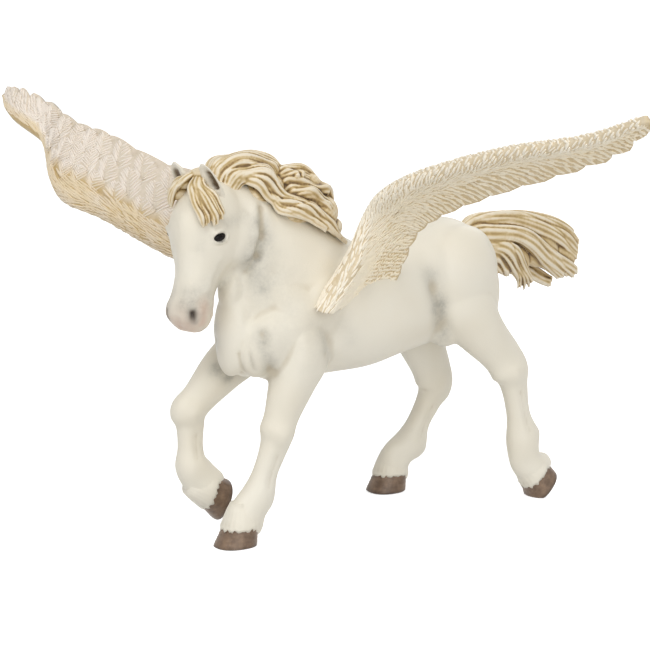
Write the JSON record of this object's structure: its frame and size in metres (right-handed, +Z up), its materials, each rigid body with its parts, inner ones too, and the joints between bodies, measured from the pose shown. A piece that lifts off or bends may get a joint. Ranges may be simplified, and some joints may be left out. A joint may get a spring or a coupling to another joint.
{
  "type": "pegasus figurine",
  "caption": "Winged horse figurine moulded in one piece, walking with one foreleg raised, its feathered wings spread wide and its mane and tail blown back; a toy or shelf ornament.",
  "frame": {"origin": "on the ground, under the middle of the figurine's bounding box", "axes": "+X the way the horse walks, +Y to its left along the spread wings, +Z up"},
  "size_m": [0.1622, 0.2458, 0.1321],
  "materials": {
    "body_paint": "matt cream paint with airbrushed grey shading",
    "wing_paint": "matt cream paint with an ochre wash in the feathers",
    "hair_paint": "matt straw paint with an ochre and brown wash between the locks",
    "hoof_paint": "matt brown paint",
    "eye_paint": "gloss black paint"
  },
  "bodies": {
    "root": {"pegasus": "body_paint"}
  },
  "joints": []
}
